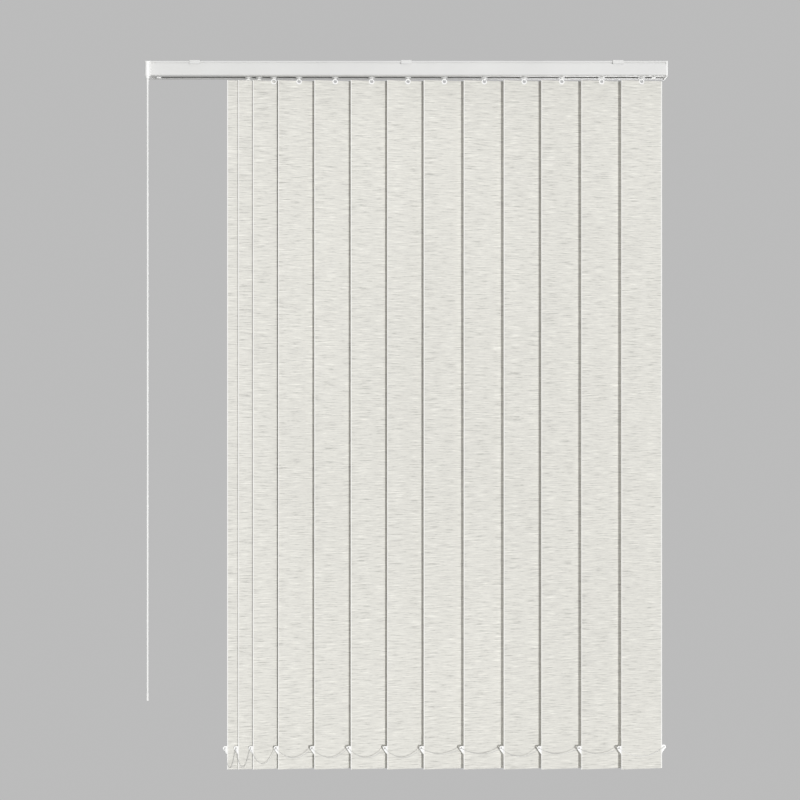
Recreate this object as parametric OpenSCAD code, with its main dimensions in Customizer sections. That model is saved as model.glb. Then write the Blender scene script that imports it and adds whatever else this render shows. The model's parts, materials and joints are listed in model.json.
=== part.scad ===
// Vertical blind: fabric louvres that hang from wheeled carriers in a headrail,
// draw sideways to the right and turn together about their hooks.
// Millimetres. +X runs along the rail, +Y points to the window, +Z is up.
// The origin is the middle fixing hole, on the fixing face of its bracket.

/* [Blind] */
// Overall width over both end caps
blind_w = 1099; // [1080:1:1200]
// How far each gap between hooks is drawn open, from the lead louvre to the fixed one
rest_open = [0.016, 0.144, 0.504, 0.872, 0.88, 0.88, 0.88, 1, 1, 0.92, 1, 1]; // [0:0.004:1]
// Distance from the fixed louvre's hook to the right end
end_margin = 51.5; // [48:0.5:60]
// Turn of the closed louvres about their hooks, left edges towards the room
rest_tilt = 8.5; // [8:0.5:20]

/* [Headrail] */
// Depth of the rail, room side to window side
rail_d = 45; // [44:0.5:60]
// Height of the rail
rail_h = 30.5; // [30:0.5:40]
// Thickness of the rail's side walls
rail_wall = 1.5; // [1.2:0.1:2]
// Thickness of the flanges that the wheels run on
rail_floor = 1.6; // [1.4:0.1:2.4]
// Radius of the rail's lower edges
rail_corner = 3.5; // [2.5:0.1:4]
// Width of the slot that the hooks pass through
slot_w = 15; // [14.5:0.1:17]
// Width of the lips that the brackets grip
lip_w = 4; // [3:0.1:6]
// Height of the lips above the grip groove
lip_h = 3; // [2.5:0.1:4]
// Height of the grip groove
groove_h = 3.2; // [2.4:0.1:3.6]
// Depth of the grip groove
groove_d = 2; // [1:0.1:2.2]
// Depth of the channel on top, where the screw heads lie
channel_d = 3.5; // [2.5:0.1:3.8]
// Thickness of the rail's top web
web_t = 1.5; // [1.2:0.1:1.8]
// Thickness of the walls beside the top of the wheel chamber
shoulder_t = 3.5; // [3:0.1:5]

/* [Brackets] */
// Width of a bracket along the rail
bracket_w = 22; // [16:0.5:40]
// Thickness of the bracket's spring steel
bracket_t = 1.5; // [1:0.1:2]
// Distance from an outer bracket to the blind's end
bracket_inset = 104.5; // [60:0.5:250]
// Height of the bracket's claws
claw_h = 7.6; // [7.6:0.1:12]
// Radius of the fixing hole
screw_r = 2.5; // [2:0.1:4]

/* [Caps and stops] */
// Length of the control cap along the rail
control_w = 11.5; // [11.5:0.5:20]
// How far the caps stand proud of the rail
cap_lip = 0.4; // [0.2:0.1:1]
// Thickness of the plate that closes the right end
end_plate_t = 3; // [2:0.1:5]
// How far the plate on the right end stands below the rail
end_plate_drop = 2; // [0.5:0.1:4]
// Length of the plugs that hold the caps in the rail
plug_l = 12; // [8:0.5:14]
// Width of the plugs
plug_w = 36; // [28:0.5:38]
// Width of the arm that carries a stop
arm_w = 9; // [8.5:0.5:12]
// Length of a carrier stop along the rail
stop_l = 8; // [6:0.5:12]
// Distance from a stop to the blind's end
stop_inset = 22.5; // [20:0.5:23]
// Width of a stop in the slot
stop_w = 13; // [8:0.5:13.5]
// How far a stop shows below the rail
stop_drop = 2; // [1:0.1:6]
// How far the control cap's nose holds the wand in front of the hooks
wand_reach = 26; // [25.5:0.5:40]
// Width of the nose
nose_w = 11; // [10:0.5:11]
// How far the nose's top stands below the rail's top
nose_sink = 2; // [1:0.1:6]
// How far the nose stands below the rail
nose_drop = 1.9; // [0.5:0.1:3]
// Height of the tapered outlet below the nose
outlet_h = 5.3; // [3:0.1:12]
// Radius of the outlet where it leaves the nose
outlet_r = 4.8; // [4.2:0.1:5.4]
// Thickness of the outlet's wall round the wand
outlet_wall = 1; // [0.8:0.1:1.4]

/* [Tilt rod and wand] */
// Radius of the fluted tilt rod
rod_r = 3; // [2.8:0.1:3.2]
// Radius of the rod's round ends
journal_r = 2.5; // [2:0.1:2.5]
// Distance from the hooks back to the rod
rod_back = 9.4; // [9.2:0.1:9.8]
// Number of flutes on the rod
rod_flutes = 3; // [3:1:5]
// Radius of a flute
flute_r = 0.8; // [0.5:0.1:1]
// Radius of the wand
wand_r = 2.2; // [1.6:0.1:2.4]
// Length of the wand below the outlet
wand_l = 1306; // [600:1:1400]
// Length of the collar at the wand's top
ferrule_l = 14; // [8:0.5:30]
// How far the collar stands out round the wand at its top
ferrule_lip = 1; // [0.5:0.1:1.5]
// Length of the tip at the wand's bottom
tip_l = 16; // [8:0.5:30]
// How far the tip stands out round the wand
tip_lip = 0.5; // [0.2:0.1:1]
// Height of the head that holds the wand in the nose
spindle_head_h = 3; // [2:0.1:4]
// How far the wand's head stands out round it
spindle_lip = 1.6; // [1:0.1:2]

/* [Carriers] */
// Length of a carrier along the rail
carrier_l = 20; // [19.5:0.1:21.5]
// Width of a carrier's body
carrier_w = 29; // [28.5:0.1:30]
// Height of a carrier's lower body, which holds the rod and the stem
carrier_h = 11; // [10.6:0.1:11.4]
// Height of the bridge that the spacers slide through
bridge_h = 8.6; // [8:0.1:9]
// Width of the bridge
bridge_w = 12; // [11:0.5:16]
// Gap under a carrier, above the flanges
carrier_lift = 1.2; // [0.8:0.1:1.6]
// Length of the buffer on the lead carrier
buffer_l = 9.5; // [8:0.1:9.8]
// Radius of a wheel
wheel_r = 4.5; // [4:0.1:4.6]
// Width of a wheel
wheel_w = 3.8; // [3:0.1:3.9]
// Radius of a wheel's axle
axle_r = 1.5; // [1.2:0.1:1.8]
// How far an axle's head stands out round it
axle_lip = 0.8; // [0.4:0.1:1]
// Thickness of an axle's head
axle_head_t = 0.6; // [0.4:0.1:0.8]
// Distance between a carrier's two axles
axle_pitch = 10.6; // [10:0.1:10.8]
// Thickness of a carrier's thin walls
wall_t = 1.4; // [1.2:0.1:1.5]
// Height of the floor that the stem's head rests on
stem_floor = 4.3; // [3.5:0.1:4.5]
// Gap between two carriers when they are stacked
stack_gap = 2; // [1.5:0.1:4]
// Largest gap between two hooks that a spacer allows
max_gap = 84.5; // [80:0.5:88]
// Thickness of a spacer strip
spacer_t = 0.4; // [0.3:0.05:0.5]
// Width of a spacer strip
spacer_w = 6.5; // [5:0.1:6.8]
// Slope that lets neighbouring spacers lie over each other
spacer_slope = 2.3; // [2.2:0.05:2.4]
// Height of a spacer above the floor of its window
spacer_lift = 0.6; // [0.5:0.05:0.8]
// How far a spacer runs on behind its peg
spacer_tail = 6; // [4:0.5:8]
// How far a spacer runs on past the next hook at its largest gap
spacer_over = 2.5; // [2:0.1:2.8]
// Radius of the peg that holds a spacer
peg_r = 1; // [0.8:0.1:1.5]

/* [Hooks and hangers] */
// Radius of a hook's stem
stem_r = 3.5; // [3:0.1:3.8]
// Radius of the stem's head inside the carrier
head_r = 5.2; // [4.6:0.1:5.4]
// Height of the stem's head
head_h = 4.4; // [3.6:0.1:4.8]
// Distance from the carrier down to the collar
collar_gap = 1.8; // [0.3:0.1:3]
// Radius of the collar under the carrier
collar_r = 6.8; // [5.5:0.1:6.9]
// Height of the collar's rim
collar_h = 1.6; // [1.2:0.1:2.2]
// Height of the cone under the rim
cone_h = 1.6; // [1.4:0.1:2.6]
// Radius of the cone where it leaves the rim
cone_top_r = 4.4; // [3:0.1:6]
// Radius of the cone's foot
cone_r = 2.4; // [2.3:0.1:3]
// Width of a hook along its louvre
hook_w = 2.6; // [2:0.1:2.8]
// Thickness of a hook's two legs
hook_t = 1.1; // [0.8:0.05:1.2]
// Radius of the hole in a hanger's eye
eye_r = 3.6; // [3.5:0.1:4.8]
// Width of the eye's rim
eye_rim = 1.9; // [1.6:0.1:2.4]
// Gap between a hook's cone and the eye
eye_gap = 0.4; // [0.3:0.1:1]
// Distance from a louvre's top edge to the middle of the eye
eye_drop = 1.7; // [1:0.1:4]
// Width of a hanger plate
hanger_w = 82; // [60:1:86]
// Clearance of the hole in the fabric round the eye
punch_gap = 0.7; // [0.3:0.1:1.5]
// Height of a hanger plate
hanger_h = 18; // [14:0.5:30]
// Thickness of the hanger plates and the weights
plate_t = 1.2; // [0.8:0.1:1.2]

/* [Louvres] */
// Width of a louvre
louvre_w = 89; // [86:0.5:92]
// Length of a louvre
louvre_l = 1456.6; // [600:0.1:1900]
// Thickness of the fabric
fabric_t = 0.4; // [0.3:0.05:0.5]
// Length of the weld that closes a pocket
weld_h = 6; // [4:0.5:12]
// Height over which a pocket's back closes onto the front
close_h = 4; // [2:0.5:8]
// How much deeper a pocket is than the plate in it
hem_slack = 3; // [2:0.5:8]

/* [Weights and chains] */
// Height of a weight
weight_h = 48.8; // [40:0.2:60]
// Distance from the side edge of a weight to the edge of its louvre
weight_inset = 1; // [0.5:0.1:3]
// Radius of a weight's lower corners
weight_corner = 5; // [2:0.5:10]
// Distance from a louvre's edge to the middle of the hole in a chain tab
tab_reach = 5; // [4.5:0.1:5.5]
// Radius of a chain tab's round end
tab_r = 4; // [3:0.1:4.2]
// Height of a chain tab
tab_h = 19.2; // [14:0.2:30]
// Radius of the hole in a chain tab
tab_hole_r = 1.6; // [1:0.1:2]
// Radius of the chain's links
chain_r = 0.5; // [0.4:0.05:0.6]
// Length of chain between two louvres
chain_l = 89; // [88.5:0.5:120]
// Extra length of the chain that turns round the fixed louvre
loop_slack = 4; // [1:0.5:10]
// Clearance between the chain and the tabs
chain_gap = 1; // [0.5:0.1:1.5]

/* [Clearances] */
// Radial clearance of what turns
run_gap = 0.1; // [0.05:0.01:0.15]
// Clearance of what rolls, slides or hangs close to its seat
seat_gap = 0.3; // [0.2:0.05:0.4]
// Clearance on each face of a plate in its pocket
pocket_gap = 0.15; // [0.05:0.05:0.2]
// Clearance of an eye's rim in the bottom of its hook
hang_gap = 0.05; // [0.02:0.01:0.1]

/* [Hidden] */
$fn = 48;
count = len(rest_open) + 1;
// How far cutters and joined shapes run past a face
over = 1;

// Levels
rail_top = -bracket_t;
rail_bottom = rail_top - rail_h;
track_z = rail_bottom + rail_floor;
web_z = rail_top - channel_d - web_t;
groove_z = rail_top - lip_h - groove_h / 2;
shoulder_z = rail_top - lip_h - groove_h - rail_wall;

// Carriers and what they hold
carrier_bottom = track_z + carrier_lift;
bridge_z = carrier_bottom + carrier_h;
wheel_z = track_z + seat_gap + wheel_r;
axle_l = wheel_w + 2 * seat_gap;
axle_head_r = axle_r + axle_lip;
rod_z = bridge_z - wall_t - rod_r;
rod_hole_r = rod_r + seat_gap;
head_z = carrier_bottom + stem_floor;
collar_top = carrier_bottom - collar_gap;
collar_bottom = collar_top - collar_h;
cone_bottom = collar_bottom - cone_h;
eye_outer_r = eye_r + eye_rim;
eye_z = cone_bottom - eye_gap - eye_outer_r;
louvre_top = eye_z + eye_drop;
louvre_bottom = louvre_top - louvre_l;
window_z = bridge_z + wall_t;
window_h = bridge_h - 2 * wall_t;
window_w = spacer_w + 4 * seat_gap;
spacer_z = window_z + spacer_lift;

// Ends of the rail
rail_x0 = -blind_w / 2 + control_w;
rail_x1 = blind_w / 2 - end_plate_t;
stop_x = blind_w / 2 - stop_inset - stop_l;
arm_top = window_z;
anchor_x = stop_x + stop_l / 2;
bracket_spread = blind_w / 2 - bracket_inset;
plug_top = web_z - seat_gap;
plug_bottom = track_z + seat_gap;

// Gaps between hooks: stacked, drawn wide where the rail allows it, and as the blind hangs
stack_pitch = carrier_l + stack_gap;
travel = blind_w / 2 - end_margin + stop_x - carrier_l / 2;
wide_gap = min(max_gap, (travel - carrier_l) / (count - 2));
rest_gaps = [for (open = rest_open) stack_pitch + open * (wide_gap - stack_pitch)];

// The control cap's nose and the wand
nose_x = -blind_w / 2 + control_w / 2;
nose_top = rail_top - nose_sink;
nose_bottom = rail_bottom - nose_drop;
outlet_bottom = nose_bottom - outlet_h;
wand_top = outlet_bottom - seat_gap;
wand_bottom = wand_top - wand_l;
spindle_head_r = wand_r + spindle_lip;
spindle_head_z = nose_bottom + 2 * wall_t;

// Louvres, hangers and weights, in a louvre's own frame
pocket_t = plate_t + 2 * pocket_gap;
fold_r = pocket_t / 2 + fabric_t;
plate_inset = fold_r - sqrt(pow(pocket_t / 2, 2) - pow(plate_t / 2, 2)) + pocket_gap;
punch_r = eye_outer_r + punch_gap;
leg_in = plate_t / 2 + pocket_gap;
leg_out = leg_in + hook_t;
throat_z = eye_z + eye_r + hang_gap;
tip_gap = plate_t;
hem_top = hanger_h + hem_slack;
hem_bottom = weight_h + hem_slack;
weight_w = louvre_w - 2 * weight_inset;
tab_x = louvre_w / 2 + tab_reach;
tab_z = louvre_bottom + plate_inset + weight_h - tab_r;
tab_foot_z = tab_z + tab_r - tab_h;
fold_steps = 8;
corner_steps = 8;

// Chains
chain_off = plate_t / 2 + chain_r + chain_gap;
span_steps = 10;
chain_sides = 6;
end_loop_w = 2 * tab_x;
end_loop_l = end_loop_w + chain_l - wide_gap + loop_slack;

function two_digits(i) = i < 10 ? str("0", i) : str(i);
function gaps_after(i) = i > len(rest_gaps) ? 0 : rest_gaps[i - 1] + gaps_after(i + 1);
function carrier_x(i) = blind_w / 2 - end_margin - gaps_after(i);

// A hanging span as a parabola: its length, and the sag that gives a wanted length
function span_length(w, s) =
    let (q = sqrt(w * w + 16 * s * s))
    q / 2 + w * w / (8 * s) * ln((4 * s + q) / w);
function span_sag(w, l, low = 0.01, high = 60, step = 30) =
    let (mid = (low + high) / 2)
    step == 0 ? mid
    : span_length(w, mid) < l ? span_sag(w, l, mid, high, step - 1)
    : span_sag(w, l, low, mid, step - 1);
function span_points(x, w, l) =
    let (s = span_sag(w, l))
    [for (k = [1:span_steps]) let (t = k / span_steps) [x + w * t, -4 * s * t * (1 - t)]];

// A section drawn in Y and Z, run along X
module along_x(x0, x1) {
    translate([x0, 0, 0]) rotate([90, 0, 90]) linear_extrude(x1 - x0) children();
}

// An outline drawn in X and Z, given a thickness along Y
module upright(t) {
    rotate([90, 0, 0]) linear_extrude(t, center = true) children();
}

// A rectangle about the middle, from one level to another, with round lower corners
module round_base(w, low, high, r) {
    translate([-w / 2, low + r]) square([w, high - low - r]);
    translate([-w / 2 + r, low]) square([w - 2 * r, r + over]);
    for (s = [-1, 1]) translate([s * (w / 2 - r), low + r]) circle(r);
}

// A rectangle about the middle, from one level to another
module band(w, low, high) {
    translate([-w / 2, low]) square([w, high - low]);
}

// Puts a louvre's piece at its hook, turned as the blind hangs
module at_hook(i) {
    translate([carrier_x(i), 0, 0]) rotate([0, 0, rest_tilt]) children();
}

module rail_section() {
    difference() {
        round_base(rail_d, rail_bottom, rail_top, rail_corner);
        round_base(rail_d - 2 * rail_wall, track_z, shoulder_z, rail_corner - rail_wall);
        band(rail_d - 2 * shoulder_t, track_z + rail_corner, web_z);
        band(rail_d - 2 * lip_w, rail_top - channel_d, rail_top + over);
        band(slot_w, rail_bottom - over, track_z + over);
        for (s = [-1, 1]) {
            translate([s * rail_d / 2, groove_z]) square([2 * groove_d, groove_h], center = true);
        }
    }
}

module headrail() {
    color("white") along_x(rail_x0, rail_x1) rail_section();
}

module bracket_section() {
    inner_w = rail_d + 2 * seat_gap;
    toe = groove_d - seat_gap;
    toe_w = groove_d + bracket_t / 2;
    band(inner_w + 2 * bracket_t, -bracket_t, 0);
    for (s = [-1, 1]) {
        translate([s * (inner_w + bracket_t) / 2, -claw_h / 2]) square([bracket_t, claw_h], center = true);
        translate([s * (rail_d / 2 - toe + toe_w / 2), groove_z]) {
            square([toe_w, groove_h - 2 * seat_gap], center = true);
        }
    }
}

module brackets() {
    color("whitesmoke") for (x = [-bracket_spread, 0, bracket_spread]) {
        difference() {
            along_x(x - bracket_w / 2, x + bracket_w / 2) bracket_section();
            translate([x, 0, -bracket_t - over]) cylinder(r = screw_r, h = bracket_t + 2 * over);
        }
    }
}

// The plug, arm and carrier stop of a cap, for the right end
module plug_and_stop(end_x) {
    along_x(end_x - plug_l, end_x) band(plug_w, plug_bottom, plug_top);
    along_x(stop_x, end_x - plug_l) band(arm_w, plug_bottom, arm_top);
    along_x(stop_x, stop_x + stop_l) band(stop_w, rail_bottom - stop_drop, plug_bottom);
}

// The round-fronted block that holds the wand
module nose() {
    translate([nose_x, 0, nose_bottom]) linear_extrude(nose_top - nose_bottom) {
        translate([0, -wand_reach]) circle(d = nose_w);
        translate([-nose_w / 2, -wand_reach]) square([nose_w, wand_reach - rail_d / 2 + over]);
    }
}

module control_cap() {
    end_x = -blind_w / 2;
    color("white") difference() {
        union() {
            along_x(end_x, rail_x0) {
                round_base(rail_d + 2 * cap_lip, rail_bottom - cap_lip, rail_top, rail_corner);
            }
            nose();
            translate([nose_x, -wand_reach, outlet_bottom]) {
                cylinder(r1 = wand_r + outlet_wall, r2 = outlet_r, h = outlet_h + over);
            }
            mirror([1, 0, 0]) plug_and_stop(-rail_x0);
        }
        translate([end_x + wall_t, rod_back, rod_z]) rotate([0, 90, 0]) {
            cylinder(r = journal_r + run_gap, h = control_w + plug_l);
        }
        translate([nose_x, -wand_reach, outlet_bottom - over]) {
            cylinder(r = wand_r + run_gap, h = spindle_head_z - outlet_bottom + 2 * over);
        }
        translate([nose_x, -wand_reach, spindle_head_z - seat_gap]) {
            cylinder(r = spindle_head_r + seat_gap, h = spindle_head_h + 2 * seat_gap);
        }
    }
}

module end_cap() {
    color("white") difference() {
        union() {
            along_x(rail_x1, blind_w / 2) {
                low = rail_bottom - end_plate_drop;
                round_base(rail_d + 2 * cap_lip, low, rail_top, rail_corner);
            }
            plug_and_stop(rail_x1);
            translate([anchor_x, 0, 0]) peg();
        }
        translate([rail_x1 - plug_l - over, rod_back, rod_z]) rotate([0, 90, 0]) {
            cylinder(r = journal_r + run_gap, h = plug_l + over);
        }
    }
    color("gainsboro") translate([anchor_x, 0, 0]) spacer(anchor_x - carrier_x(count) + spacer_over);
}

module tilt_rod() {
    x0 = -blind_w / 2 + wall_t + seat_gap;
    x1 = rail_x1 - seat_gap;
    body_x1 = rail_x1 - plug_l - 2 * seat_gap;
    body_x0 = rail_x0 + plug_l + 2 * seat_gap;
    color("silver") translate([0, rod_back, rod_z]) {
        translate([x0, 0, 0]) rotate([0, 90, 0]) cylinder(r = journal_r, h = x1 - x0);
        along_x(body_x0, body_x1) difference() {
            circle(rod_r);
            for (k = [0:rod_flutes - 1]) {
                rotate(360 * k / rod_flutes) translate([rod_r + flute_r / 4, 0]) circle(flute_r);
            }
        }
    }
}

module wand() {
    color("white") translate([nose_x, -wand_reach, 0]) {
        translate([0, 0, spindle_head_z]) cylinder(r = spindle_head_r, h = spindle_head_h);
        translate([0, 0, wand_bottom]) cylinder(r = wand_r, h = spindle_head_z - wand_bottom + over);
        translate([0, 0, wand_top - ferrule_l]) {
            cylinder(r1 = wand_r + ferrule_lip / 3, r2 = wand_r + ferrule_lip, h = ferrule_l);
        }
        translate([0, 0, wand_bottom]) cylinder(r = wand_r + tip_lip, h = tip_l);
    }
}

module wheel() {
    difference() {
        cylinder(r = wheel_r, h = wheel_w, center = true);
        cylinder(r = axle_r + run_gap, h = wheel_w + over, center = true);
    }
}

// A strip that keeps the pitch: pegged at one end, it slides through the next carrier on the left
module spacer(reach) {
    translate([0, 0, spacer_z]) rotate([0, spacer_slope, 0]) difference() {
        translate([-reach, -spacer_w / 2, -spacer_t / 2]) {
            cube([spacer_tail + reach, spacer_w, spacer_t]);
        }
        cylinder(r = peg_r + run_gap, h = 4 * spacer_t, center = true);
    }
}

// The peg that holds a spacer, on the floor of its window
module peg() {
    low = window_z - over / 2;
    translate([0, 0, low]) cylinder(r = peg_r, h = spacer_z + spacer_t - low);
}

module carrier_body() {
    difference() {
        union() {
            along_x(-carrier_l / 2, carrier_l / 2) {
                band(carrier_w, carrier_bottom, bridge_z);
                band(bridge_w, bridge_z - over, bridge_z + bridge_h);
            }
            for (s = [-1, 1], x = [-axle_pitch / 2, axle_pitch / 2]) {
                translate([x, s * carrier_w / 2, wheel_z]) rotate([-90 * s, 0, 0]) {
                    translate([0, 0, -over]) cylinder(r = axle_r, h = axle_l + over);
                    translate([0, 0, axle_l]) cylinder(r = axle_head_r, h = axle_head_t);
                }
            }
        }
        translate([0, 0, carrier_bottom - over]) cylinder(r = stem_r + run_gap, h = stem_floor + 2 * over);
        translate([0, 0, head_z]) cylinder(r = head_r + seat_gap, h = head_h + 2 * seat_gap);
        translate([-carrier_l, rod_back, rod_z]) rotate([0, 90, 0]) {
            cylinder(r = rod_hole_r, h = 2 * carrier_l);
        }
        translate([-carrier_l, -window_w / 2, window_z]) cube([2 * carrier_l, window_w, window_h]);
    }
}

module carrier(i) {
    translate([carrier_x(i), 0, 0]) {
        color("white") carrier_body();
        if (i == 1) {
            buffer_x = -carrier_l / 2 - buffer_l;
            color("white") along_x(buffer_x, -carrier_l / 2 + over) band(bridge_w, carrier_bottom, bridge_z);
        } else {
            color("white") peg();
            color("gainsboro") spacer(wide_gap + spacer_over);
        }
        color("lightgray") for (s = [-1, 1], x = [-axle_pitch / 2, axle_pitch / 2]) {
            translate([x, s * (carrier_w / 2 + seat_gap + wheel_w / 2), wheel_z]) rotate([90, 0, 0]) wheel();
        }
    }
}

// The swivel stem, and the J that a hanger's eye hangs in
module hook() {
    translate([0, 0, head_z + run_gap]) cylinder(r = head_r, h = head_h);
    translate([0, 0, collar_top - over]) cylinder(r = stem_r, h = head_z - collar_top + 2 * over);
    translate([0, 0, collar_bottom]) cylinder(r = collar_r, h = collar_h);
    translate([0, 0, cone_bottom]) cylinder(r1 = cone_r, r2 = cone_top_r, h = cone_h);
    along_x(-hook_w / 2, hook_w / 2) {
        difference() {
            translate([0, throat_z]) circle(leg_out);
            translate([0, throat_z]) circle(leg_in);
            band(4 * leg_out, throat_z, throat_z + 2 * leg_out);
        }
        translate([leg_in, throat_z]) square([hook_t, cone_bottom - throat_z + over]);
        translate([-leg_out, throat_z]) square([hook_t, cone_bottom - throat_z - tip_gap]);
    }
}

module hanger_plate() {
    upright(plate_t) difference() {
        union() {
            band(hanger_w, louvre_top - hanger_h, louvre_top - plate_inset);
            translate([0, eye_z]) circle(eye_outer_r);
        }
        translate([0, eye_z]) circle(eye_r);
    }
}

module hanger(i) {
    color("white") at_hook(i) {
        hook();
        hanger_plate();
    }
}

// The outer outline of a hem, from the front face over the fold to the end of the weld.
// The edge faces up for a dir of 1 and down for -1.
function hem_outline(edge_z, dir, height) =
    let (end_z = edge_z - dir * height, weld_z = end_z - dir * close_h)
    concat(
        fold_arc(edge_z, dir, fold_r),
        [
            [fold_r, end_z],
            [fabric_t - pocket_t / 2, weld_z],
            [fabric_t - pocket_t / 2, weld_z - dir * weld_h],
            [-pocket_t / 2, weld_z - dir * weld_h]
        ]
    );

// The pocket inside a hem
function hem_pocket(edge_z, dir, height) =
    let (end_z = edge_z - dir * height)
    concat(
        fold_arc(edge_z, dir, pocket_t / 2),
        [[pocket_t / 2, end_z], [-pocket_t / 2, end_z - dir * close_h]]
    );

// The half circle of a fold, from the front to the back
function fold_arc(edge_z, dir, r) =
    [for (a = [180:-180 / fold_steps:0]) [r * cos(a), edge_z + dir * (r * sin(a) - fold_r)]];

function reversed(list) = [for (k = [len(list) - 1:-1:0]) list[k]];

module louvre_section() {
    difference() {
        polygon(concat(
            hem_outline(louvre_top, 1, hem_top),
            reversed(hem_outline(louvre_bottom, -1, hem_bottom))
        ));
        polygon(hem_pocket(louvre_top, 1, hem_top));
        polygon(hem_pocket(louvre_bottom, -1, hem_bottom));
    }
}

module louvre(i) {
    color("ivory") at_hook(i) difference() {
        along_x(-louvre_w / 2, louvre_w / 2) louvre_section();
        translate([0, 0, eye_z]) rotate([90, 0, 0]) cylinder(r = punch_r, h = 4 * fold_r, center = true);
    }
}

// The right half of a weight's outline, from its bottom to its top
function weight_half() =
    let (
        low = louvre_bottom + plate_inset,
        side = weight_w / 2,
        corner = [side - weight_corner, low + weight_corner],
        foot = [side, tab_foot_z],
        hole = [tab_x, tab_z],
        reach = hole - foot,
        first = atan2(reach[1], reach[0]) - asin(tab_r / norm(reach)) - 90
    )
    concat(
        [for (k = [0:corner_steps]) corner + weight_corner * unit(-90 + 90 * k / corner_steps)],
        [foot],
        [for (k = [0:corner_steps]) hole + tab_r * unit(first + (90 - first) * k / corner_steps)]
    );

function unit(a) = [cos(a), sin(a)];

module weight_outline() {
    half = weight_half();
    difference() {
        polygon(concat(half, reversed([for (p = half) [-p[0], p[1]]])));
        for (s = [-1, 1]) translate([s * tab_x, tab_z]) circle(tab_hole_r);
    }
}

// A round strand along points in X and Z, at one depth
module strand(points, y) {
    last = len(points) - 1;
    rings = [
        for (j = [0:last])
            let (
                d = points[min(j + 1, last)] - points[max(j - 1, 0)],
                u = d / norm(d)
            )
            for (k = [0:chain_sides - 1])
                let (a = 360 * k / chain_sides, c = chain_r * cos(a))
                [points[j][0] - u[1] * c, y + chain_r * sin(a), points[j][1] + u[0] * c]
    ];
    sides = [
        for (j = [0:last - 1], k = [0:chain_sides - 1])
            let (
                a = j * chain_sides + k,
                b = j * chain_sides + (k + 1) % chain_sides
            )
            each [[a, b, a + chain_sides], [b, b + chain_sides, a + chain_sides]]
    ];
    first_end = [for (k = [chain_sides - 1:-1:0]) k];
    last_end = [for (k = [0:chain_sides - 1]) last * chain_sides + k];
    polyhedron(rings, concat(sides, [first_end, last_end]));
}

// The chain along one edge of the louvres: side -1 is the room side, +1 the window side
module edge_chain(side) {
    tab_dx = side * tab_x * cos(rest_tilt);
    tab_y = side * tab_x * sin(rest_tilt);
    start = carrier_x(1) + tab_dx;
    spans = [
        for (i = [1:count - 1]) each span_points(carrier_x(i) + tab_dx, rest_gaps[i - 1], chain_l)
    ];
    translate([0, tab_y, tab_z]) strand(concat([[start, 0]], spans), side * chain_off);
}

module front_chain() {
    color("gainsboro") edge_chain(-1);
}

module rear_chain() {
    color("gainsboro") edge_chain(1);
}

// The chain's turn round the fixed louvre, from its left tab to its right one
module end_loop() {
    points = concat([[-tab_x, 0]], span_points(-tab_x, end_loop_w, end_loop_l));
    translate([0, 0, tab_z]) strand(points, -chain_off);
}

module weight(i) {
    at_hook(i) {
        color("white") upright(plate_t) weight_outline();
        if (i == count) color("gainsboro") end_loop();
    }
}

headrail();
brackets();
control_cap();
end_cap();
tilt_rod();
wand();
front_chain();
rear_chain();
for (i = [1:count]) {
    carrier(i);
    hanger(i);
    louvre(i);
    weight(i);
}
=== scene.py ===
import json
import math

import bmesh
import bpy
from mathutils import Matrix, Vector

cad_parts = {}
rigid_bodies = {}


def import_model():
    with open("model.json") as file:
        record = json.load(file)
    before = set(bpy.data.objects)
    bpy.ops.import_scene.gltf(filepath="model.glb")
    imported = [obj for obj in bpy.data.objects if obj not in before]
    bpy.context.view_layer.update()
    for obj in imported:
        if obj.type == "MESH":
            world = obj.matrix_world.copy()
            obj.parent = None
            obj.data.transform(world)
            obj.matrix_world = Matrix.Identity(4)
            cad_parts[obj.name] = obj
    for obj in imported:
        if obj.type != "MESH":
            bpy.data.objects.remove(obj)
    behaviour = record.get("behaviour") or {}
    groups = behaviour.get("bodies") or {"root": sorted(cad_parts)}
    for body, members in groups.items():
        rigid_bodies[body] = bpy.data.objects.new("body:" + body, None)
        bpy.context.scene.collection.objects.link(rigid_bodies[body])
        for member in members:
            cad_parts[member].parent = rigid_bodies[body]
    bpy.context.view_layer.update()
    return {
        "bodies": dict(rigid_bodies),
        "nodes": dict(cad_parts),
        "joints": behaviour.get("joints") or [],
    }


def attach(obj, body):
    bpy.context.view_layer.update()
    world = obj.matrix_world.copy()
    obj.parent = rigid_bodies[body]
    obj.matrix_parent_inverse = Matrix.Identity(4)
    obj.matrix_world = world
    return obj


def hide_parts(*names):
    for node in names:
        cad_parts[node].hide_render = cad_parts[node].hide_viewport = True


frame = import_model()
nodes = frame["nodes"]
bodies = frame["bodies"]
joints = {joint["name"]: joint for joint in frame["joints"]}

# Sizes, in metres

LOUVRE_COUNT = 13
# Chain between two louvres
CHAIN_L = 0.089
# Chain round the fixed louvre
END_LOOP_L = 0.1075
# From the middle of a tab to the middle of the chain
CHAIN_OFF = 0.0021
BEAD_R = 0.00075
BEAD_PITCH = 0.0031
LINK_R = 0.00028
# More than any span can sag
DEEPEST_SAG = 0.06
BONE_L = 0.01
FLOOR_HALF = 2.4
FLOOR_Z = -2.35

# Steps along a span, and halvings in the search for its sag
SPAN_STEPS = 400
HALVINGS = 40

NUMBERS = [f"{i:02d}" for i in range(1, LOUVRE_COUNT + 1)]
HOOKS = [Vector(joints[f"louvre_{number}_tilt"]["pos_m"]) for number in NUMBERS]
FRONT_TAB = Vector(joints["front_chain_carry"]["pos_m"])
REAR_TAB = Vector(joints["rear_chain_carry"]["pos_m"])
TAB_BONES = [f"tab_{number}" for number in NUMBERS]
SAG_BONES = [f"sag_{number}" for number in NUMBERS[:-1]]

# Camera

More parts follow.
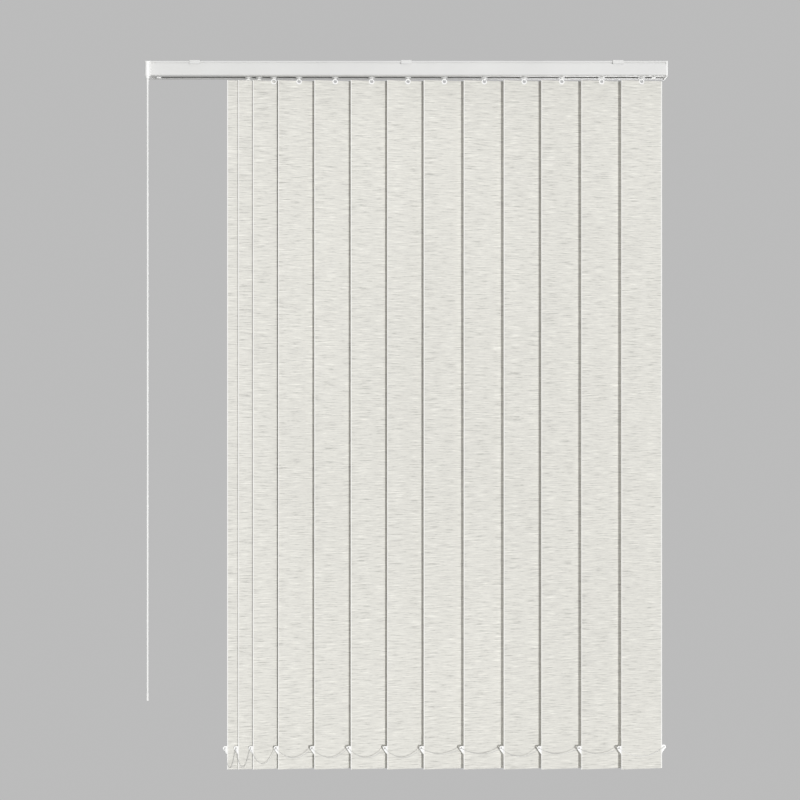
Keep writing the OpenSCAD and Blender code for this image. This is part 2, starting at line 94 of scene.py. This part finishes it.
camera_data = bpy.data.cameras.new("camera")
camera_data.lens = 70
camera_data.sensor_width = 36
camera = bpy.data.objects.new("camera", camera_data)
camera.location = (-0.0134, -3.293, -0.7143)
camera.rotation_euler = (math.pi / 2, 0, 0)
bpy.context.scene.collection.objects.link(camera)
bpy.context.scene.camera = camera
bpy.context.scene.view_settings.view_transform = "Standard"

# Materials


class Shader:
    """A Principled material under construction."""

    def __init__(self, name, roughness, metallic=0.0):
        self.material = bpy.data.materials.new(name)
        self.material.use_nodes = True
        self.tree = self.material.node_tree
        self.shader = self.tree.nodes["Principled BSDF"]
        self.shader.inputs["Roughness"].default_value = roughness
        self.shader.inputs["Metallic"].default_value = metallic
        self.coords = self.tree.nodes.new("ShaderNodeTexCoord")

    def link(self, a, b):
        self.tree.links.new(a, b)

    def noise(self, scale, detail=3.0, roughness=0.55, shift=(0, 0, 0)):
        """Noise with its own scale along each axis, in features a metre."""
        mapping = self.tree.nodes.new("ShaderNodeMapping")
        mapping.inputs["Scale"].default_value = scale
        mapping.inputs["Location"].default_value = shift
        noise = self.tree.nodes.new("ShaderNodeTexNoise")
        noise.inputs["Scale"].default_value = 1.0
        noise.inputs["Detail"].default_value = detail
        noise.inputs["Roughness"].default_value = roughness
        self.link(self.coords.outputs["Object"], mapping.inputs["Vector"])
        self.link(mapping.outputs["Vector"], noise.inputs["Vector"])
        return noise.outputs["Fac"]

    def ramp(self, value, stops):
        """A colour ramp of (position, colour) stops."""
        ramp = self.tree.nodes.new("ShaderNodeValToRGB")
        elements = ramp.color_ramp.elements
        while len(elements) < len(stops):
            elements.new(0.5)
        for element, (position, colour) in zip(elements, stops):
            element.position = position
            element.color = (*colour, 1)
        self.link(value, ramp.inputs["Fac"])
        return ramp.outputs["Color"]

    def math(self, operation, a, b):
        node = self.tree.nodes.new("ShaderNodeMath")
        node.operation = operation
        for socket, value in zip(node.inputs, (a, b)):
            if isinstance(value, (int, float)):
                socket.default_value = value
            else:
                self.link(value, socket)
        return node.outputs["Value"]

    def mix(self, factor, a, b, blend="MIX"):
        """Two colours mixed; a and b are sockets or colours."""
        node = self.tree.nodes.new("ShaderNodeMix")
        node.data_type = "RGBA"
        node.blend_type = blend
        for name, value in (("Factor_Float", factor), ("A_Color", a), ("B_Color", b)):
            socket = next(s for s in node.inputs if s.identifier == name)
            if isinstance(value, (int, float)):
                socket.default_value = value
            elif isinstance(value, tuple):
                socket.default_value = (*value, 1)
            else:
                self.link(value, socket)
        return next(s for s in node.outputs if s.identifier == "Result_Color")

    def colour(self, socket):
        self.link(socket, self.shader.inputs["Base Color"])

    def bump(self, height, distance, strength=1.0):
        bump = self.tree.nodes.new("ShaderNodeBump")
        bump.inputs["Distance"].default_value = distance
        bump.inputs["Strength"].default_value = strength
        self.link(height, bump.inputs["Height"])
        self.link(bump.outputs["Normal"], self.shader.inputs["Normal"])


def shades(colour, low, high):
    """A darker and a lighter shade of a colour."""
    return tuple(c * low for c in colour), tuple(c * high for c in colour)


def plain(name, colour, roughness, grain, bump, metallic=0.0, spread=0.03):
    """Paint or plastic with slight cloudy variation and a fine surface grain."""
    s = Shader(name, roughness, metallic)
    low, high = shades(colour, 1 - spread, 1 + spread)
    s.colour(s.ramp(s.noise((9, 9, 9)), [(0.3, low), (0.7, high)]))
    s.bump(s.noise(grain, 2.0), bump, 0.4)
    return s.material


def louvre_fabric(name, colour):
    """Off-white slub weave: streaks along the weft, fine threads, and a painted highlight along both
    cut edges.
    """
    s = Shader(name, 0.85)
    s.shader.inputs["Sheen Weight"].default_value = 0.15
    s.shader.inputs["Sheen Roughness"].default_value = 0.6
    s.shader.inputs["Specular IOR Level"].default_value = 0.2
    streak = s.noise((28, 28, 500), 2.0, 0.5)
    slub = s.noise((52, 52, 720), 3.0, 0.6, (0.6, 0, 2.3))
    fine = s.noise((140, 140, 1400), 2.0, 0.6, (3.1, 0, 7.7))
    cloud = s.noise((3, 3, 2), 2.0, 0.5, (1.7, 4.2, 0))
    coarse = s.math("ADD", s.math("MULTIPLY", streak, 0.45), s.math("MULTIPLY", slub, 0.35))
    threads = s.math("ADD", coarse, s.math("MULTIPLY", fine, 0.2))
    gap, thread = shades(colour, 0.61, 1.18)
    dull, bright = shades(colour, 0.895, 0.97)
    cloth = s.ramp(threads, [(0.36, gap), (0.46, dull), (0.55, bright), (0.65, thread)])
    dim, full = shades((1, 1, 1), 0.97, 1.0)
    cloth = s.mix(1.0, cloth, s.ramp(cloud, [(0.35, dim), (0.65, full)]), "MULTIPLY")
    # Painted highlight: a pale band along both cut edges of each louvre stands in for light caught by
    # the edges.
    split = s.tree.nodes.new("ShaderNodeSeparateXYZ")
    s.link(s.coords.outputs["Generated"], split.inputs["Vector"])
    across = s.math("ABSOLUTE", s.math("SUBTRACT", split.outputs["X"], 0.5), 0.0)
    edge_highlight = s.math("GREATER_THAN", across, 0.477)
    s.colour(s.mix(s.math("MULTIPLY", edge_highlight, 0.85), cloth, (0.93, 0.925, 0.905)))
    s.bump(threads, 0.0006, 0.55)
    return s.material


FABRIC = louvre_fabric("louvre_fabric", (0.775, 0.765, 0.715))
# Painted shade: the rail's white paint is set darker than the white caps, standing in for the shade
# of a window recess over the rail.
SHADED_RAIL = plain("rail_paint", (0.71, 0.71, 0.70), 0.42, (900, 900, 900), 0.00004)
BRACKET = plain("bracket_paint", (0.72, 0.72, 0.71), 0.4, (700, 700, 700), 0.00004)
CAP = plain("cap_plastic", (0.91, 0.91, 0.90), 0.42, (600, 600, 600), 0.00005)
ROD = plain("rod_metal", (0.62, 0.63, 0.64), 0.35, (40, 900, 900), 0.00003, metallic=0.9)
WAND = plain("wand_plastic", (0.79, 0.79, 0.78), 0.4, (500, 500, 60), 0.00003)
# Partly the chain's own grey and partly painted shade: the plastic is darkened to stand in for the
# shadow of the thin chain on the fabric.
CHAIN = plain("chain_plastic", (0.60, 0.60, 0.59), 0.35, (900, 900, 900), 0.00002, spread=0.06)
CARRIER = plain("carrier_plastic", (0.80, 0.80, 0.79), 0.45, (700, 700, 700), 0.00005)
HOOK = plain("hook_plastic", (0.86, 0.86, 0.85), 0.38, (700, 700, 700), 0.00004)
WEIGHT = plain("weight_plastic", (0.86, 0.86, 0.85), 0.4, (700, 700, 700), 0.00004)

NODE_MATERIALS = {
    "headrail": SHADED_RAIL,
    "brackets": BRACKET,
    "control_cap": CAP,
    "end_cap": CAP,
    "tilt_rod": ROD,
    "wand": WAND,
    "front_chain": CHAIN,
    "rear_chain": CHAIN,
}
for number in NUMBERS:
    NODE_MATERIALS[f"carrier_{number}"] = CARRIER
    NODE_MATERIALS[f"hanger_{number}"] = HOOK
    NODE_MATERIALS[f"louvre_{number}"] = FABRIC
    NODE_MATERIALS[f"weight_{number}"] = WEIGHT

for name, material in NODE_MATERIALS.items():
    mesh = nodes[name].data
    mesh.materials.clear()
    mesh.materials.append(material)

# Chains


def span_length(width, sag):
    """Length of a parabola of that width and sag."""
    q = math.sqrt(width * width + 16 * sag * sag)
    return q / 2 + width * width / (8 * sag) * math.log((4 * sag + q) / width)


def span_sag(width, length):
    """Sag of a span of that width and length."""
    low, high = 1e-5, DEEPEST_SAG
    for _ in range(HALVINGS):
        middle = (low + high) / 2
        if span_length(width, middle) < length:
            low = middle
        else:
            high = middle
    return (low + high) / 2


def span_beads(width, length):
    """Shares of the width at which a span's beads sit, evenly spaced along it, and its sag."""
    sag = span_sag(width, length)
    drop = [-4 * sag * k / SPAN_STEPS * (1 - k / SPAN_STEPS) for k in range(SPAN_STEPS + 1)]
    run = [0.0]
    for k in range(SPAN_STEPS):
        run.append(run[-1] + math.hypot(width / SPAN_STEPS, drop[k + 1] - drop[k]))
    beads = round(run[-1] / BEAD_PITCH)
    shares, k = [], 0
    for b in range(beads):
        wanted = run[-1] * b / beads
        while run[k + 1] < wanted:
            k += 1
        shares.append((k + (wanted - run[k]) / (run[k + 1] - run[k])) / SPAN_STEPS)
    return shares, sag


def add_bead(bm, place):
    made = bmesh.ops.create_icosphere(
        bm, subdivisions=2, radius=BEAD_R, matrix=Matrix.Translation(place)
    )
    return made["verts"]


def add_link(bm, a, b):
    d = b - a
    turn = d.to_track_quat("Z", "Y").to_matrix().to_4x4()
    made = bmesh.ops.create_cone(
        bm, cap_ends=False, segments=6, radius1=LINK_R, radius2=LINK_R, depth=d.length,
        matrix=Matrix.Translation((a + b) / 2) @ turn,
    )
    return made["verts"]


def bead_mesh(name, places, shares=None):
    """Beads at places joined by links. shares gives each bead's weights by vertex group."""
    bm = bmesh.new()
    layer = bm.verts.layers.deform.verify()

    def weigh(verts, place_index):
        if shares is None:
            return
        for v in verts:
            for group, weight in shares[place_index].items():
                v[layer][group] = weight

    for k, place in enumerate(places):
        weigh(add_bead(bm, place), k)
    for k in range(len(places) - 1):
        verts = add_link(bm, places[k], places[k + 1])
        near = [v for v in verts if (v.co - places[k]).length < (v.co - places[k + 1]).length]
        far = [v for v in verts if v not in near]
        weigh(near, k)
        weigh(far, k + 1)
    mesh = bpy.data.meshes.new(name)
    bm.to_mesh(mesh)
    bm.free()
    mesh.polygons.foreach_set("use_smooth", [True] * len(mesh.polygons))
    mesh.materials.append(CHAIN)
    piece = bpy.data.objects.new(name, mesh)
    bpy.context.scene.collection.objects.link(piece)
    return piece


def copy_place(bone, target, subtarget="", influence=1.0):
    """The bone goes where the target is, without turning."""
    follow = bone.constraints.new("COPY_LOCATION")
    follow.target = target
    follow.subtarget = subtarget
    follow.influence = influence


def chain_rig(name, node, tabs):
    """A bone at each tab, and one at each span's middle that sinks as the span's tabs close up."""
    rig = bpy.data.objects.new(name, bpy.data.armatures.new(name))
    bpy.context.scene.collection.objects.link(rig)
    bpy.context.view_layer.objects.active = rig
    bpy.ops.object.mode_set(mode="EDIT")
    middles = [(a + b) / 2 for a, b in zip(tabs, tabs[1:])]
    for bone_name, place in zip(TAB_BONES + SAG_BONES, tabs + middles):
        bone = rig.data.edit_bones.new(bone_name)
        bone.head = place
        bone.tail = place + Vector((0, BONE_L, 0))
    for bone_name, following in zip(TAB_BONES, TAB_BONES[1:]):
        rig.data.edit_bones[bone_name].parent = rig.data.edit_bones[following]
    bpy.ops.object.mode_set(mode="OBJECT")
    for number, bone_name, place in zip(NUMBERS, TAB_BONES, tabs):
        holder = bpy.data.objects.new(f"{name}_{bone_name}", None)
        holder.location = place
        bpy.context.scene.collection.objects.link(holder)
        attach(holder, f"louvre_{number}")
        copy_place(rig.pose.bones[bone_name], holder)
    for i, bone_name in enumerate(SAG_BONES):
        bone = rig.pose.bones[bone_name]
        copy_place(bone, rig, TAB_BONES[i])
        copy_place(bone, rig, TAB_BONES[i + 1], 0.5)
        gap = tabs[i + 1].x - tabs[i].x
        for limit in joints[f"carrier_{NUMBERS[i]}_slide"]["range_m"]:
            rise = span_sag(gap, CHAIN_L) - span_sag(gap - limit, CHAIN_L)
            (low, low_rise), (high, high_rise) = sorted([(0, 0), (limit, rise)])
            sink = bone.constraints.new("TRANSFORM")
            sink.target = rig
            sink.subtarget = TAB_BONES[i]
            sink.target_space = "LOCAL"
            sink.from_min_x, sink.from_max_x = low, high
            sink.map_to_z_from = "X"
            sink.to_min_z, sink.to_max_z = low_rise, high_rise
    rig.hide_render = True
    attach(rig, node)
    return rig


def edge_chain(name, node, tab, side):
    """The chain along one edge: each span hangs between the tabs of the two louvres that it joins."""
    tabs = [hook + tab - HOOKS[-1] for hook in HOOKS]
    off = Vector((0, side * CHAIN_OFF, 0))
    places, shares = [], []
    for i, (here, following) in enumerate(zip(tabs, tabs[1:])):
        gap = following.x - here.x
        along, sag = span_beads(gap, CHAIN_L)
        for t in along:
            hang = 4 * t * (1 - t)
            nearer_tab = round(i + t)
            places.append(here + off + Vector((gap * t, 0, -sag * hang)))
            shares.append({nearer_tab: 1 - hang, LOUVRE_COUNT + i: hang})
    places.append(tabs[-1] + off)
    shares.append({LOUVRE_COUNT - 1: 1.0})
    piece = bead_mesh(name, places, shares)
    for bone_name in TAB_BONES + SAG_BONES:
        piece.vertex_groups.new(name=bone_name)
    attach(piece, node)
    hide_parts(node)
    skin = piece.modifiers.new("hang_from_tabs", "ARMATURE")
    skin.object = chain_rig(name + "_rig", node, tabs)


edge_chain("front_beads", "front_chain", FRONT_TAB, -1)
edge_chain("rear_beads", "rear_chain", REAR_TAB, 1)

# The beads of the chain's turn round the fixed louvre
across = REAR_TAB - FRONT_TAB
facing = Vector((across.y, -across.x, 0)).normalized()
loop_shares, loop_sag = span_beads(across.length, END_LOOP_L)
loop_places = [
    FRONT_TAB + across * t + facing * CHAIN_OFF - Vector((0, 0, 4 * loop_sag * t * (1 - t)))
    for t in loop_shares + [1.0]
]
loop_beads = bead_mesh("end_loop_beads", loop_places)
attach(loop_beads, "louvre_13")

# Stage and light

FLOOR = plain("floor_paint", (0.92, 0.915, 0.905), 0.7, (30, 30, 30), 0.0001, spread=0.01)
floor_mesh = bpy.data.meshes.new("floor")
corners = [(x * FLOOR_HALF, y * FLOOR_HALF, 0) for x, y in ((-1, -1), (1, -1), (1, 1), (-1, 1))]
floor_mesh.from_pydata(corners, [], [(0, 1, 2, 3)])
floor_mesh.materials.append(FLOOR)
floor = bpy.data.objects.new("floor", floor_mesh)
floor.location = (0, 0, FLOOR_Z)
bpy.context.scene.collection.objects.link(floor)


def area_light(name, place, target, size, power):
    data = bpy.data.lights.new(name, "AREA")
    data.shape = "RECTANGLE"
    data.size, data.size_y = size
    data.energy = power
    light = bpy.data.objects.new(name, data)
    light.location = place
    light.rotation_euler = (Vector(target) - Vector(place)).to_track_quat("-Z", "Y").to_euler()
    bpy.context.scene.collection.objects.link(light)


sun_data = bpy.data.lights.new("key", "SUN")
sun_data.energy = 2.2
sun_data.angle = math.radians(7)
sun = bpy.data.objects.new("key", sun_data)
sun.rotation_euler = Vector((-0.40, 0.90, 0.035)).to_track_quat("-Z", "Y").to_euler()
bpy.context.scene.collection.objects.link(sun)
area_light("fill", (-2.2, -2.4, -0.8), (-0.3, 0, -0.75), (1.6, 2.2), 8)
area_light("rear", (1.3, 2.8, -0.5), (0.1, 0, -0.75), (2.0, 1.6), 34)
area_light("overhead", (0.3, -0.2, 2.6), (0, 0, -2.3), (2.4, 2.4), 34)

world = bpy.data.worlds.new("studio")
bpy.context.scene.world = world
world.use_nodes = True
world_nodes = world.node_tree.nodes
world_links = world.node_tree.links
ambient = world_nodes["Background"]
ambient.inputs["Color"].default_value = (0.79, 0.79, 0.79, 1)
ambient.inputs["Strength"].default_value = 0.37
backdrop = world_nodes.new("ShaderNodeBackground")
backdrop.inputs["Color"].default_value = (0.5, 0.5, 0.5, 1)

# The backdrop shows to the camera and in reflections, and the ambient light falls on the object
rays = world_nodes.new("ShaderNodeLightPath")
seen = world_nodes.new("ShaderNodeMath")
seen.operation = "MAXIMUM"
choice = world_nodes.new("ShaderNodeMixShader")
world_links.new(rays.outputs["Is Camera Ray"], seen.inputs[0])
world_links.new(rays.outputs["Is Glossy Ray"], seen.inputs[1])
world_links.new(seen.outputs["Value"], choice.inputs["Fac"])
world_links.new(ambient.outputs["Background"], choice.inputs[1])
world_links.new(backdrop.outputs["Background"], choice.inputs[2])
world_links.new(choice.outputs["Shader"], world_nodes["World Output"].inputs["Surface"])
